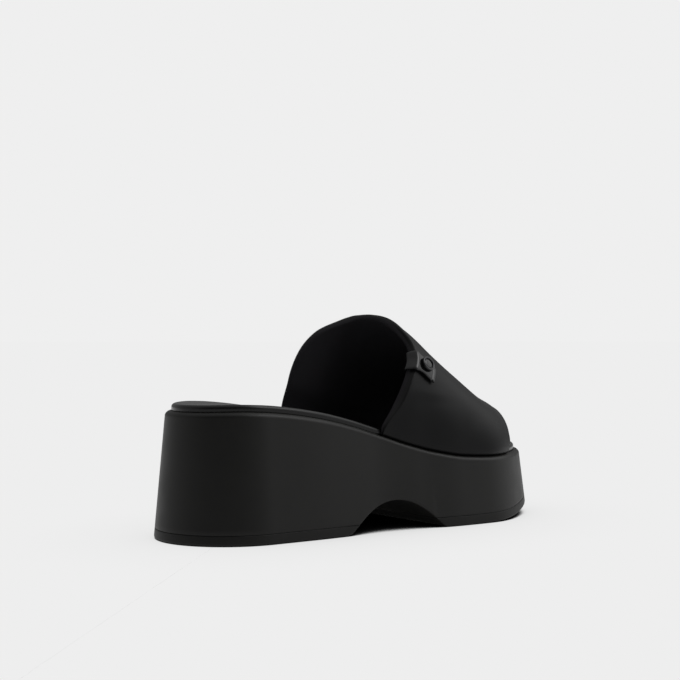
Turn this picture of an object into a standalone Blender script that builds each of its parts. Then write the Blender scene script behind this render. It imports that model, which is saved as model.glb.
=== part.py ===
"""Platform wedge slide sandal, the right shoe, open at the heel and at the toe.

A padded band is lasted under a wrapped footbed, on a thick foamed platform
whose waist is pierced by a low arch. Two rubber soles stand on the floor.

The tables are in millimetres and the meshes in metres. +X runs to the toe,
+Y to the big-toe side and +Z up. The origin is on the floor, under the middle
of the heel seat. "Along" is a share of the footbed's length from its back
edge, and "out" is a distance outward from the footbed's own edge.
"""
import math
from collections import namedtuple

import bmesh
import bpy
from mathutils import Matrix, Vector

MM = 0.001

# Lengths and widths of the footbed
FOOTBED_LENGTH = 250.0
HEEL_WIDTH = 66.8
WAIST_WIDTH = 64.8
BALL_WIDTH = 90.0
TOE_SHIFT = 5.4

# Heights of the platform's top above the floor
HEEL_RISE = 72.1
FOREFOOT_RISE = 39.8
TOE_LIFT = 1.6

# Platform and soles
TOE_SPRING = 7.9
SHOULDER_OUT = 3.7
SHOULDER_DROP = 3.1
HEEL_FLARE = 6.1
WAIST_FLARE = 6.0
TOE_FLARE = 3.6
SOLE_THICKNESS = 5.6
SOLE_EDGE = 1.6
SEAM_BEVEL = 0.7
TUNNEL_LENGTH = 66.0
TUNNEL_HEIGHT = 18.3
TUNNEL_MIDDLE = 0.482
TUNNEL_CORNER = 2.2
TUNNEL_FOOT = 1.12

# Footbed
FOOTBED_THICKNESS = 3.9
FOOTBED_EDGE = 2.0
FOOTBED_CHAMFER = 0.6
FOOTBED_DISH = 1.2

# Padded band
INSTEP_HEIGHT = 89.7
CREST_SHIFT = 3.0
BAND_WALL = 5.0
BAND_FOOT_WALL = 2.4
BAND_FOOT_OUT = 3.1
BAND_FOOT_UP = 4.4
MARGIN_WALL = 1.2
MARGIN_REACH = 12.0

# Tab over the topline, and the plain round badge on it
TAB_THICKNESS = 1.3
TAB_INSIDE = 9.0
BADGE_DIAMETER = 9.3
BADGE_HEIGHT = 1.7
BADGE_RIM = 1.4

# Air between two pieces that touch on the real shoe
CLEARANCE = 0.3

Outline = namedtuple("Outline", "along width outer inner")
OUTLINE = (
    Outline(0.00, HEEL_WIDTH, 0.481, 0.503),
    Outline(0.15, HEEL_WIDTH, 0.501, 0.503),
    Outline(0.30, HEEL_WIDTH, 0.520, 0.485),
    Outline(0.42, WAIST_WIDTH, 0.536, 0.478),
    Outline(0.56, WAIST_WIDTH, 0.591, 0.540),
    Outline(0.68, BALL_WIDTH, 0.473, 0.467),
    Outline(0.78, BALL_WIDTH, 0.489, 0.507),
    Outline(0.90, BALL_WIDTH, 0.443, 0.516),
    Outline(1.00, BALL_WIDTH, 0.411, 0.508),
)
HEEL_CAP = 0.14
HEEL_CAP_POWER = 1.97
TOE_CAP = 0.24
TOE_CAP_POWER = 1.95
TOE_SHIFT_FROM = 0.70

Seat = namedtuple("Seat", "along rise lift")
SEAT = (
    Seat(0.00, 0.985, 0.00),
    Seat(0.08, 1.000, 0.00),
    Seat(0.13, 0.987, 0.00),
    Seat(0.18, 0.955, 0.00),
    Seat(0.29, 0.831, 0.00),
    Seat(0.38, 0.670, 0.00),
    Seat(0.46, 0.485, 0.00),
    Seat(0.53, 0.308, 0.00),
    Seat(0.61, 0.147, 0.00),
    Seat(0.70, 0.035, 0.00),
    Seat(0.80, 0.000, 0.05),
    Seat(1.00, 0.000, 1.00),
)
SPRING_FROM = 0.72

# How far the footbed's dish has sunk, a part of the way in from its edge
Dish = namedtuple("Dish", "part sunk")
DISH = (
    Dish(0.16, 0.10),
    Dish(0.30, 0.40),
    Dish(0.48, 0.75),
    Dish(0.70, 1.00),
)

Crest = namedtuple("Crest", "along height square")
CREST = (
    Crest(0.38, 1.068, 2.28),
    Crest(0.54, 1.012, 2.28),
    Crest(0.60, 0.905, 2.23),
    Crest(0.66, 0.774, 2.18),
    Crest(0.74, 0.603, 2.13),
    Crest(0.82, 0.443, 2.08),
    Crest(0.90, 0.346, 2.03),
    Crest(0.94, 0.296, 1.98),
)

Rim = namedtuple("Rim", "across back front")
RIM = (
    Rim(0.00, 0.458, 0.873),
    Rim(0.05, 0.494, 0.877),
    Rim(0.10, 0.523, 0.878),
    Rim(0.15, 0.547, 0.881),
    Rim(0.22, 0.572, 0.887),
    Rim(0.30, 0.584, 0.901),
    Rim(0.40, 0.571, 0.925),
    Rim(0.50, 0.561, 0.937),
    Rim(0.58, 0.548, 0.938),
    Rim(0.66, 0.502, 0.932),
    Rim(0.74, 0.434, 0.921),
    Rim(0.82, 0.398, 0.913),
    Rim(0.91, 0.373, 0.894),
    Rim(1.00, 0.354, 0.876),
)

# The band's foot, from the tip of its lasting margin up to the arch
Foot = namedtuple("Foot", "out up wall")
FOOT = (
    Foot(-MARGIN_REACH, CLEARANCE, MARGIN_WALL),
    Foot(-0.5 * MARGIN_REACH, CLEARANCE, MARGIN_WALL),
    Foot(-0.13 * BAND_FOOT_OUT, CLEARANCE, MARGIN_WALL),
    Foot(0.29 * BAND_FOOT_OUT, CLEARANCE + 0.05 * BAND_FOOT_UP, 1.05 * MARGIN_WALL),
    Foot(0.61 * BAND_FOOT_OUT, CLEARANCE + 0.21 * BAND_FOOT_UP, 1.25 * MARGIN_WALL),
    Foot(0.87 * BAND_FOOT_OUT, CLEARANCE + 0.53 * BAND_FOOT_UP, 0.80 * BAND_FOOT_WALL),
)
FOOT_STEP = 0.01
PADDING_FULL_AT = 0.08

# The band's mean run from rim to rim, as a share of the footbed's length
BAND_RUN = 0.35

Tab = namedtuple("Tab", "reach low high")
TAB = (
    Tab(0.000, 0.175, 0.249),
    Tab(0.050, 0.172, 0.243),
    Tab(0.100, 0.163, 0.238),
    Tab(0.155, 0.156, 0.224),
)
BADGE_REACH = 0.080
BADGE_ACROSS = 0.62

# Facets
HEEL_STEPS = 9
SIDE_STEPS = 20
TOE_STEPS = 11
ARCH_STEPS = 34
BAND_STEPS = 13
ROLL_STEPS = 4
TUNNEL_STEPS = 28
TAB_STEPS = 6
TAB_OUTSIDE_STEPS = 7
TAB_INSIDE_STEPS = 3
POCKET_STEPS = 18
BADGE_STEPS = 32
RIM_TURNS = 6
WALL_STEPS = 5
EDGE_TURNS = 3

# Turns of the platform's rounded shoulder, in degrees from its side
SHOULDER_TURNS = (25.0, 50.0, 72.0, 90.0)

# Edges that turn by more than this many degrees stay sharp
CREASE = 35.0
BAND_CREASE = 60.0

# How far apart two points are taken to find a direction, as a share of a run
PROBE = 0.002

# How far a cutting guide reaches past what it cuts
CUT_PAST = 10.0

FOOTBED_BACK = -0.5 * HEEL_WIDTH


def smooth(rows, at):
    """Reads a monotone cubic through (position, value) rows, level past both ends."""
    if at <= rows[0][0]:
        return rows[0][1]
    if at >= rows[-1][0]:
        return rows[-1][1]
    steps = [after[0] - before[0] for before, after in zip(rows, rows[1:])]
    rates = [(after[1] - before[1]) / step for before, after, step in zip(rows, rows[1:], steps)]
    slopes = [rates[0]]
    for left, right, before, after in zip(rates, rates[1:], steps, steps[1:]):
        if left * right <= 0:
            slopes.append(0.0)
        else:
            near = 2 * after + before
            far = after + 2 * before
            slopes.append((near + far) / (near / left + far / right))
    slopes.append(rates[-1])
    i = max(i for i in range(len(steps)) if rows[i][0] <= at)
    t = (at - rows[i][0]) / steps[i]
    rise = rows[i][1] * (1 + 2 * t) * (1 - t) ** 2 + rows[i + 1][1] * t * t * (3 - 2 * t)
    return rise + steps[i] * t * (1 - t) * (slopes[i] * (1 - t) - slopes[i + 1] * t)


def column(table, position, value):
    """Takes two named columns of a table as rows for smooth()."""
    return [(getattr(row, position), getattr(row, value)) for row in table]


OUTER_HALF = [(row.along, row.width * row.outer) for row in OUTLINE]
INNER_HALF = [(row.along, row.width * row.inner) for row in OUTLINE]
SEAT_RISE = column(SEAT, "along", "rise")
SEAT_LIFT = column(SEAT, "along", "lift")
CREST_HEIGHT = column(CREST, "along", "height")
CREST_SQUARE = column(CREST, "along", "square")
RIM_BACK = column(RIM, "across", "back")
RIM_FRONT = column(RIM, "across", "front")
FLARE = [(0.0, HEEL_FLARE), (0.5, WAIST_FLARE), (1.0, TOE_FLARE)]


def place(along):
    """Turns a share of the footbed's length into a place on X."""
    return FOOTBED_BACK + along * FOOTBED_LENGTH


def share(x):
    """Turns a place on X into a share of the footbed's length, from 0 to 1."""
    return min(1.0, max(0.0, (x - FOOTBED_BACK) / FOOTBED_LENGTH))


def seat(x):
    """Gives the height of the platform's top, under the edge of the footbed."""
    along = share(x)
    ramp = (HEEL_RISE - FOREFOOT_RISE) * smooth(SEAT_RISE, along)
    return FOREFOOT_RISE + ramp + TOE_LIFT * smooth(SEAT_LIFT, along)


def ground(x):
    """Gives the height of the tread, which leaves the floor at the toe."""
    return TOE_SPRING * max(0.0, (share(x) - SPRING_FROM) / (1.0 - SPRING_FROM)) ** 2


def end_round(along):
    """Gives how much of the half width is left at the rounded heel and toe."""
    if along < HEEL_CAP:
        reach = (HEEL_CAP - along) / HEEL_CAP
        power = HEEL_CAP_POWER
    elif along > 1.0 - TOE_CAP:
        reach = (along - 1.0 + TOE_CAP) / TOE_CAP
        power = TOE_CAP_POWER
    else:
        return 1.0
    return max(0.0, 1.0 - reach ** power) ** (1.0 / power)


def edge(along, inner):
    """Gives Y of the footbed's edge, on the little-toe or the big-toe side."""
    half = smooth(INNER_HALF, along) if inner else -smooth(OUTER_HALF, along)
    kept = end_round(along)
    sway = max(0.0, (along - TOE_SHIFT_FROM) / (1.0 - TOE_SHIFT_FROM)) ** 1.5
    return half * kept + TOE_SHIFT * sway * (1.0 - kept)


def side_shares():
    """Spaces the stations along one side, closer round the heel and the toe."""
    heel = [HEEL_CAP * (1.0 - math.cos(0.5 * math.pi * i / HEEL_STEPS)) for i in range(HEEL_STEPS)]
    body = 1.0 - HEEL_CAP - TOE_CAP
    side = [HEEL_CAP + body * i / SIDE_STEPS for i in range(SIDE_STEPS)]
    toe = [1.0 - TOE_CAP * (1.0 - math.sin(0.5 * math.pi * i / TOE_STEPS)) for i in range(TOE_STEPS + 1)]
    return heel + side + toe


SHARES = side_shares()


def base_ring():
    """Lists the footbed's edge: heel, little-toe side, toe tip, big-toe side."""
    outer = [Vector((place(along), edge(along, False))) for along in SHARES]
    inner = [Vector((place(along), edge(along, True))) for along in SHARES[-2:0:-1]]
    return outer + inner


BASE = base_ring()


def ring_out(out):
    """Moves the footbed's edge outward, by a length or by a function of X."""
    moved = []
    for i, point in enumerate(BASE):
        run = BASE[(i + 1) % len(BASE)] - BASE[i - 1]
        away = Vector((run.y, -run.x)).normalized()
        far = out(point.x) if callable(out) else out
        moved.append(point + away * far)
    return moved


def ring_in(part):
    """Draws the footbed's edge in toward the middle line, by a part from 0 to 1."""
    low = place(HEEL_CAP)
    high = place(1.0 - TOE_CAP)
    drawn = []
    for point in BASE:
        middle = Vector((min(high, max(low, point.x)), 0.0))
        drawn.append(point.lerp(middle, part))
    return drawn


def lifted(ring, height):
    """Gives a flat ring its heights, from a function of X."""
    return [Vector((point.x, point.y, height(point.x))) for point in ring]


def new_object(name, mesh, material):
    """Puts a mesh in the scene, under its plain name."""
    made = bpy.data.objects.new(name, mesh)
    bpy.context.scene.collection.objects.link(made)
    if material:
        mesh.materials.append(material)
    return made


def finished(name, shape, material, crease=CREASE):
    """Makes the object of a bmesh, in metres, smooth but for its creases."""
    bmesh.ops.recalc_face_normals(shape, faces=shape.faces)
    bmesh.ops.scale(shape, vec=(MM, MM, MM), verts=shape.verts)
    mesh = bpy.data.meshes.new(name)
    shape.to_mesh(mesh)
    shape.free()
    mesh.shade_smooth()
    mesh.set_sharp_from_angle(angle=math.radians(crease))
    return new_object(name, mesh, material)


def bridge(shape, rings):
    """Joins closed rings of equal count, one to the next."""
    count = len(rings[0])
    for low, high in zip(rings, rings[1:]):
        for i in range(count):
            after = (i + 1) % count
            shape.faces.new((low[i], low[after], high[after], high[i]))


def fill_across(shape, ring):
    """Closes a ring of the sole with strips from one side to the other."""
    tip = len(SHARES) - 1
    count = len(ring)
    shape.faces.new((ring[0], ring[1], ring[count - 1]))
    for i in range(1, tip - 1):
        shape.faces.new((ring[i], ring[i + 1], ring[count - i - 1], ring[count - i]))
    shape.faces.new((ring[tip - 1], ring[tip], ring[tip + 1]))


def fill_between(shape, loop, count):
    """Closes a flat loop whose first points face its later ones, pair by pair."""
    last = len(loop) - 1
    turned = (len(loop) - 2 * count) // 2
    facing = [last - turned - i for i in range(count)]
    for i in range(count - 1):
        shape.faces.new((loop[i], loop[i + 1], loop[facing[i + 1]], loop[facing[i]]))
    if turned:
        shape.faces.new(loop[count - 1:count + turned + 1])
        shape.faces.new(loop[last - turned:] + [loop[0]])


def stacked(name, rings, material):
    """Lofts the sole's rings from bottom to top and closes both ends."""
    shape = bmesh.new()
    levels = [[shape.verts.new(point) for point in ring] for ring in rings]
    bridge(shape, levels)
    fill_across(shape, levels[0])
    fill_across(shape, levels[-1])
    return finished(name, shape, material)


def plain_material(name, colour, roughness, metallic=0.0):
    """Makes a Principled material."""
    material = bpy.data.materials.new(name)
    material.use_nodes = True
    shader = material.node_tree.nodes["Principled BSDF"]
    shader.inputs["Base Color"].default_value = (*colour, 1.0)
    shader.inputs["Roughness"].default_value = roughness
    shader.inputs["Metallic"].default_value = metallic
    material.diffuse_color = (*colour, 1.0)
    return material


def carve(target, cutter):
    """Cuts one object by another, which stays as a hidden guide."""
    cutter.hide_render = True
    cutter.display_type = "WIRE"
    cut = target.modifiers.new("cut by " + cutter.name, "BOOLEAN")
    cut.operation = "DIFFERENCE"
    cut.solver = "EXACT"
    cut.object = cutter


def wall_top(x):
    """Gives the height where the platform's side turns into its shoulder."""
    return seat(x) - SHOULDER_DROP


def wall_out(x, height):
    """Gives how far the side has flared at a height above the tread."""
    down = 1.0 - height / (wall_top(x) - ground(x))
    return SHOULDER_OUT + smooth(FLARE, share(x)) * down


def wall_ring(height, inset=0.0):
    """Makes a ring on the platform's side, at a height above the tread."""
    flat = ring_out(lambda x: wall_out(x, height) - inset)
    return lifted(flat, lambda x: ground(x) + height)


def wall_ring_up(part):
    """Makes a ring on the side, at a part of the way from sole to shoulder."""
    foot = SOLE_THICKNESS + CLEARANCE + SEAM_BEVEL

    def height(x):
        return foot + part * (wall_top(x) - ground(x) - foot)

    flat = ring_out(lambda x: wall_out(x, height(x)))
    return lifted(flat, lambda x: ground(x) + height(x))


def tunnel_profile():
    """Lists the arch through the waist, with its feet rounded into the floor."""
    middle = place(TUNNEL_MIDDLE)

    def soft(part):
        arch = TUNNEL_HEIGHT * (1.0 - part * part)
        return 0.5 * (arch + math.hypot(arch, TUNNEL_CORNER))

    rest = soft(TUNNEL_FOOT)
    profile = []
    for i in range(TUNNEL_STEPS + 1):
        part = TUNNEL_FOOT * (2.0 * i / TUNNEL_STEPS - 1.0)
        profile.append((middle + 0.5 * TUNNEL_LENGTH * part, soft(part) - rest))
    return profile


def cutter_across(name, profile):
    """Pushes a closed XZ profile right across the shoe, as a cutting guide."""
    half = BALL_WIDTH
    shape = bmesh.new()
    sides = [[shape.verts.new((x, y, z)) for x, z in profile] for y in (-half, half)]
    bridge(shape, sides)
    shape.faces.new(sides[0])
    shape.faces.new(sides[1][::-1])
    return finished(name, shape, None)


def tunnel_cutter(name, span):
    """Makes the cutter of the tunnel, or of all that lies past one of its feet."""
    arch = tunnel_profile()
    top = max(range(len(arch)), key=lambda i: arch[i][1])
    if span == "whole":
        line = arch
    elif span == "forward":
        line = arch[:top + 1] + [(place(1.5), arch[top][1])]
    else:
        line = [(place(-0.5), arch[top][1])] + arch[top:]
    profile = [(line[0][0], -CUT_PAST)] + line + [(line[-1][0], -CUT_PAST)]
    return cutter_across(name, profile)


def make_soles(material):
    """Makes the rubber soles under the heel and under the forefoot."""
    rings = [
        wall_ring(0.0, SOLE_EDGE),
        wall_ring(0.3 * SOLE_EDGE, 0.3 * SOLE_EDGE),
        wall_ring(SOLE_EDGE),
        wall_ring(SOLE_THICKNESS - SEAM_BEVEL),
        wall_ring(SOLE_THICKNESS, SEAM_BEVEL),
    ]
    for name, span in (("outsole_heel", "forward"), ("outsole_forefoot", "backward")):
        sole = stacked(name, rings, material)
        carve(sole, tunnel_cutter("guide_" + name, span))


def make_platform(material):
    """Makes the foamed platform: flared side, rounded shoulder, tunnel."""
    foot = SOLE_THICKNESS + CLEARANCE
    rings = [wall_ring(foot, SEAM_BEVEL)]
    rings += [wall_ring_up(i / WALL_STEPS) for i in range(WALL_STEPS + 1)]
    for turn in SHOULDER_TURNS:
        angle = math.radians(turn)
        flat = ring_out(SHOULDER_OUT * math.cos(angle))
        rings.append(lifted(flat, lambda x, a=angle: wall_top(x) + SHOULDER_DROP * math.sin(a)))
    rings.append(lifted(ring_in(0.3), seat))
    platform = stacked("platform", rings, material)
    carve(platform, tunnel_cutter("guide_tunnel", "whole"))


def band_span(inner):
    """Gives where one side of the band starts and ends along X."""
    row = RIM[-1] if inner else RIM[0]
    return place(row.back), place(row.front)


def pocket_cutter(name, inner):
    """Makes the cutter of the footbed's pocket, where the margin is lasted."""
    back, front = band_span(inner)
    low = -CLEARANCE
    high = 2.0 * CLEARANCE + MARGIN_WALL
    deep = MARGIN_REACH + 3.0 * CLEARANCE
    slack = 3.0 * CLEARANCE + 0.5 * MARGIN_WALL
    step = (front - back + 2.0 * slack) / POCKET_STEPS
    stations = [back - slack + step * i for i in range(POCKET_STEPS + 1)]
    shape = bmesh.new()
    rings = []
    for x in stations:
        point, away = edge_frame(share(x), inner)
        rings.append([
            shape.verts.new((*(point + away * out), seat(x) + up))
            for out, up in ((-deep, low), (BAND_FOOT_OUT, low), (BAND_FOOT_OUT, high), (-deep, high))
        ])
    bridge(shape, rings)
    shape.faces.new(rings[0])
    shape.faces.new(rings[-1][::-1])
    return finished(name, shape, None)


def make_footbed(material):
    """Makes the wrapped footbed, with a rounded edge and a gentle dish."""
    def at(up):
        return lambda x: seat(x) + up

    top = FOOTBED_THICKNESS
    rings = [
        lifted(ring_in(0.3), at(CLEARANCE)),
        lifted(ring_out(-FOOTBED_CHAMFER), at(CLEARANCE)),
        lifted(ring_out(0.0), at(CLEARANCE + FOOTBED_CHAMFER)),
        lifted(ring_out(0.0), at(top - FOOTBED_EDGE)),
    ]
    for i in range(1, EDGE_TURNS + 1):
        angle = 0.5 * math.pi * i / EDGE_TURNS
        inset = FOOTBED_EDGE * (1.0 - math.cos(angle))
        rings.append(lifted(ring_out(-inset), at(top - FOOTBED_EDGE * (1.0 - math.sin(angle)))))
    for row in DISH:
        rings.append(lifted(ring_in(row.part), at(top - FOOTBED_DISH * row.sunk)))
    footbed = stacked("footbed", rings, material)
    for name, inner in (("guide_pocket_outer", False), ("guide_pocket_inner", True)):
        carve(footbed, pocket_cutter(name, inner))


def edge_frame(along, inner):
    """Gives a point of the footbed's edge and the way outward from it."""
    point = Vector((place(along), edge(along, inner)))
    ahead = place(along + PROBE) - place(along - PROBE)
    run = Vector((ahead, edge(along + PROBE, inner) - edge(along - PROBE, inner)))
    away = Vector((-run.y, run.x)) if inner else Vector((run.y, -run.x))
    return point, away.normalized()


def arch_point(along, across):
    """Gives a point of the band's outer face, on the arch at a station."""
    x = place(along)
    foot_up = seat(x) + BAND_FOOT_UP
    height = FOREFOOT_RISE + INSTEP_HEIGHT * smooth(CREST_HEIGHT, along)
    power = 2.0 / smooth(CREST_SQUARE, along)
    angle = math.pi * across
    side = abs(math.cos(angle)) ** power
    foot, away = edge_frame(along, across > 0.5)
    foot = foot + away * BAND_FOOT_OUT
    y = CREST_SHIFT + (foot.y - CREST_SHIFT) * side
    z = foot_up + (height - foot_up) * max(0.0, math.sin(angle)) ** power
    return Vector((x + (foot.x - x) * side, y, z))


def outer_face(run, station):
    """Gives a point of the band's outer face.

    Run goes from 0 at the back rim to 1 at the front rim. A station is 0 to 1
    over the arch, and below 0 or above 1 it counts down the rows of FOOT.
    """
    across = min(1.0, max(0.0, station))
    back = smooth(RIM_BACK, across)
    front = smooth(RIM_FRONT, across)
    along = back + (front - back) * run
    if 0.0 <= station <= 1.0:
        return arch_point(along, across)
    depth = -station if station < 0.0 else station - 1.0
    rows = FOOT[::-1]
    level = min(len(rows) - 1.0, depth / FOOT_STEP - 1.0)
    lower = int(math.floor(level))
    part = level - lower
    above = rows[lower] if lower >= 0 else Foot(BAND_FOOT_OUT, BAND_FOOT_UP, BAND_FOOT_WALL)
    below = rows[min(lower + 1, len(rows) - 1)]
    out = above.out + (below.out - above.out) * part
    up = above.up + (below.up - above.up) * part
    point, away = edge_frame(along, station > 0.5)
    spot = point + away * out
    return Vector((spot.x, spot.y, seat(place(along)) + up))


def run_of(length):
    """Turns a length along the band into a share of its run."""
    return length / (BAND_RUN * FOOTBED_LENGTH)


def band_wall(station):
    """Gives the band's thickness: skived in the margin, padded over the arch."""
    if station < 0.0 or station > 1.0:
        depth = -station if station < 0.0 else station - 1.0
        return FOOT[-int(round(depth / FOOT_STEP))].wall
    rise = min(station, 1.0 - station) / PADDING_FULL_AT
    full = min(1.0, rise)
    return BAND_FOOT_WALL + (BAND_WALL - BAND_FOOT_WALL) * full * full * (3.0 - 2.0 * full)


def wall_frame(run, station):
    """Gives a point of the outer face, its way forward and its way out."""
    point = outer_face(run, station)
    ahead = (outer_face(run + PROBE, station) - outer_face(run - PROBE, station)).normalized()
    over = outer_face(run, station + PROBE) - outer_face(run, station - PROBE)
    away = ahead.cross(over).normalized()
    return point, ahead, away


def outer_skin(run, station):
    """Gives the outer face and its outward way."""
    point, _, away = wall_frame(run, station)
    return point, away


def inner_skin(run, station):
    """Gives the lining's face and its outward way, into the shoe."""
    point, _, away = wall_frame(run, station)
    return point - away * band_wall(station), -away


def rolled_rim(run, station, turn):
    """Gives the rounded rim; turn goes from 0 outside to 180 degrees inside."""
    point, ahead, away = wall_frame(run, station)
    radius = 0.5 * band_wall(station)
    past = ahead if run > 0.5 else -ahead
    angle = math.radians(turn)
    way = away * math.cos(angle) + past * math.sin(angle)
    return point - away * radius + way * radius, way


def wall_loop(station):
    """Lists one closed loop round the band's wall, at a station across it."""
    inset = run_of(0.5 * band_wall(station))
    runs = [inset + (1.0 - 2.0 * inset) * i / BAND_STEPS for i in range(BAND_STEPS + 1)]
    turns = [180.0 * i / ROLL_STEPS for i in range(1, ROLL_STEPS)]
    loop = [outer_skin(run, station)[0] for run in runs]
    loop += [rolled_rim(runs[-1], station, turn)[0] for turn in turns]
    loop += [inner_skin(run, station)[0] for run in reversed(runs)]
    loop += [rolled_rim(runs[0], station, turn)[0] for turn in reversed(turns)]
    return loop


def make_band(material):
    """Makes the hollow padded band, from one lasting margin to the other."""
    feet = [FOOT_STEP * (i + 1) for i in range(len(FOOT))]
    arch = [i / ARCH_STEPS for i in range(ARCH_STEPS + 1)]
    stations = [-depth for depth in reversed(feet)] + arch + [1.0 + depth for depth in feet]
    shape = bmesh.new()
    loops = [[shape.verts.new(point) for point in wall_loop(station)] for station in stations]
    bridge(shape, loops)
    for loop in (loops[0], loops[-1]):
        fill_between(shape, loop, BAND_STEPS + 1)
    return finished("upper_band", shape, material, BAND_CREASE)


def tab_path():
    """Lists the tab's way over the topline: outside, round the rim, inside."""
    start = run_of(0.5 * BAND_WALL)
    outside = [TAB[-1].reach * (1.0 - i / TAB_OUTSIDE_STEPS) for i in range(TAB_OUTSIDE_STEPS)]
    inside = [run_of(TAB_INSIDE) * (i + 1) / TAB_INSIDE_STEPS for i in range(TAB_INSIDE_STEPS)]
    path = [("outer", start + reach, reach) for reach in outside]
    path += [("rim", start, 180.0 * i / RIM_TURNS) for i in range(RIM_TURNS + 1)]
    path += [("inner", start + reach, 0.0) for reach in inside]
    return path


def tab_point(spot, part):
    """Gives a point under the tab and its outward way, a part across its width."""
    face, run, extra = spot
    reach = extra if face == "outer" else 0.0
    low = smooth(column(TAB, "reach", "low"), reach)
    high = smooth(column(TAB, "reach", "high"), reach)
    station = low + (high - low) * part
    if face == "outer":
        return outer_skin(run, station)
    if face == "rim":
        return rolled_rim(run, station, extra)
    return inner_skin(run, station)


def make_tab(material):
    """Makes the thin tab folded over the topline."""
    shape = bmesh.new()
    loops = []
    for spot in tab_path():
        found = [tab_point(spot, i / TAB_STEPS) for i in range(TAB_STEPS + 1)]
        far = CLEARANCE + TAB_THICKNESS
        loop = [point + way * CLEARANCE for point, way in found]
        loop += [point + way * far for point, way in reversed(found)]
        loops.append([shape.verts.new(point) for point in loop])
    bridge(shape, loops)
    for loop in (loops[0], loops[-1]):
        fill_between(shape, loop, TAB_STEPS + 1)
    return finished("badge_tab", shape, material)


def make_badge(material):
    """Makes the plain round badge: a raised ring round a low dome."""
    start = run_of(0.5 * BAND_WALL)
    point, way = tab_point(("outer", start + BADGE_REACH, BADGE_REACH), BADGE_ACROSS)
    radius = 0.5 * BADGE_DIAMETER
    well = radius - BADGE_RIM
    profile = (
        (0.94 * radius, 0.0),
        (radius, 0.18 * BADGE_HEIGHT),
        (radius, 0.72 * BADGE_HEIGHT),
        (radius - 0.25 * BADGE_RIM, BADGE_HEIGHT),
        (well + 0.25 * BADGE_RIM, BADGE_HEIGHT),
        (well, 0.55 * BADGE_HEIGHT),
        (0.72 * well, 0.62 * BADGE_HEIGHT),
        (0.36 * well, 0.76 * BADGE_HEIGHT),
    )
    shape = bmesh.new()
    rings = []
    for reach, up in profile:
        turns = [2.0 * math.pi * i / BADGE_STEPS for i in range(BADGE_STEPS)]
        rings.append([shape.verts.new((reach * math.cos(t), reach * math.sin(t), up)) for t in turns])
    bridge(shape, rings)
    shape.faces.new(rings[0][::-1])
    shape.faces.new(rings[-1])
    seatpoint = point + way * (2.0 * CLEARANCE + TAB_THICKNESS)
    turned = way.to_track_quat("Z", "Y").to_matrix().to_4x4()
    bmesh.ops.transform(shape, matrix=Matrix.Translation(seatpoint) @ turned, verts=shape.verts)
    return finished("badge", shape, material)


def main():
    """Clears the scene and makes the shoe."""
    for old in list(bpy.data.objects):
        bpy.data.objects.remove(old)
    make_soles(plain_material("sole rubber", (0.016, 0.016, 0.015), 0.62))
    make_platform(plain_material("platform foam", (0.022, 0.022, 0.020), 0.50))
    make_footbed(plain_material("footbed wrap", (0.014, 0.014, 0.014), 0.28))
    make_band(plain_material("band leather", (0.012, 0.012, 0.013), 0.48))
    make_tab(plain_material("tab patent", (0.010, 0.010, 0.011), 0.18))
    make_badge(plain_material("badge enamel", (0.012, 0.012, 0.013), 0.22, 0.6))


main()
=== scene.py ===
# %% [markdown]
# # A black platform slide, from the inside out
# A slide is the simplest of shoes: a thick foamed platform, a wrapped footbed on it,
# and one padded band that the foot is pushed under. This lesson dresses the plain
# solids of such a shoe with finer meshes and finished materials. The solids come from
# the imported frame, so each piece is made in the same place and at the same size.

# %% Load the frame and measure its box
import math

import bmesh
import bpy
from mathutils import Matrix, Vector


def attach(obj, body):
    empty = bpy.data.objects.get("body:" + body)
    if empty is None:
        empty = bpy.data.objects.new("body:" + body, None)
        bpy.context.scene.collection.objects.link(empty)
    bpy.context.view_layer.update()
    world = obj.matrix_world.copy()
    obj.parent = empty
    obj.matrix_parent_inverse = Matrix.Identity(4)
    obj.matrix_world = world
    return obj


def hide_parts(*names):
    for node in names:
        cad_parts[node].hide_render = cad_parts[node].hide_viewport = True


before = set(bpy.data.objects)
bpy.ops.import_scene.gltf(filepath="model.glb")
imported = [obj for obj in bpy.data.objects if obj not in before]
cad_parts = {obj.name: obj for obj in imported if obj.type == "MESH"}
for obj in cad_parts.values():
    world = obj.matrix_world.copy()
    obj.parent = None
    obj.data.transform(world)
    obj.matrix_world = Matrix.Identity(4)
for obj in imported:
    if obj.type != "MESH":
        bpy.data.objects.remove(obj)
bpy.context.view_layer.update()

# %% [markdown]
# ## The camera
# The photograph was taken from behind the little-toe side, a little above the footbed,
# with a long lens, level with the floor. A camera could be placed by eye, but its place was
# worked out here from the outline of the shoe, so that the pieces can be set against the
# photograph one by one. Setting it first lets every later step be judged that way.

# %% Camera
CAMERA_PLACE = Vector((-0.40099, -0.63036, 0.11150))
CAMERA_AIM = Vector((0.605559, 0.795800, -0.000207))
CAMERA_LENS = 69.281
FILM_WIDTH = 36.0
NEAREST, FARTHEST = 0.01, 200.0

view = bpy.data.cameras.new("view")
view.lens = CAMERA_LENS
view.sensor_width = FILM_WIDTH
view.clip_start = NEAREST
view.clip_end = FARTHEST
camera = bpy.data.objects.new("view", view)
bpy.context.scene.collection.objects.link(camera)
camera.location = CAMERA_PLACE
camera.rotation_mode = "QUATERNION"
camera.rotation_quaternion = CAMERA_AIM.to_track_quat("-Z", "Y")
bpy.context.scene.camera = camera
print("camera height, in mm:", round(1000 * CAMERA_PLACE.z, 1))

# %% [markdown]
# ## Tables of the last
# A shoemaker keeps a last as a few sections. Here they are short tables, read with a
# monotone cubic, which never overshoots between two rows. Millimetres are used for the
# shapes, because a shoemaker measures in them, and each mesh is scaled when it is made.
# Real pieces are glued face to face. The solids keep a clearance between them, and the
# dressed pieces close it to a hair, so that each seam is only a thin dark line.

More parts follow.
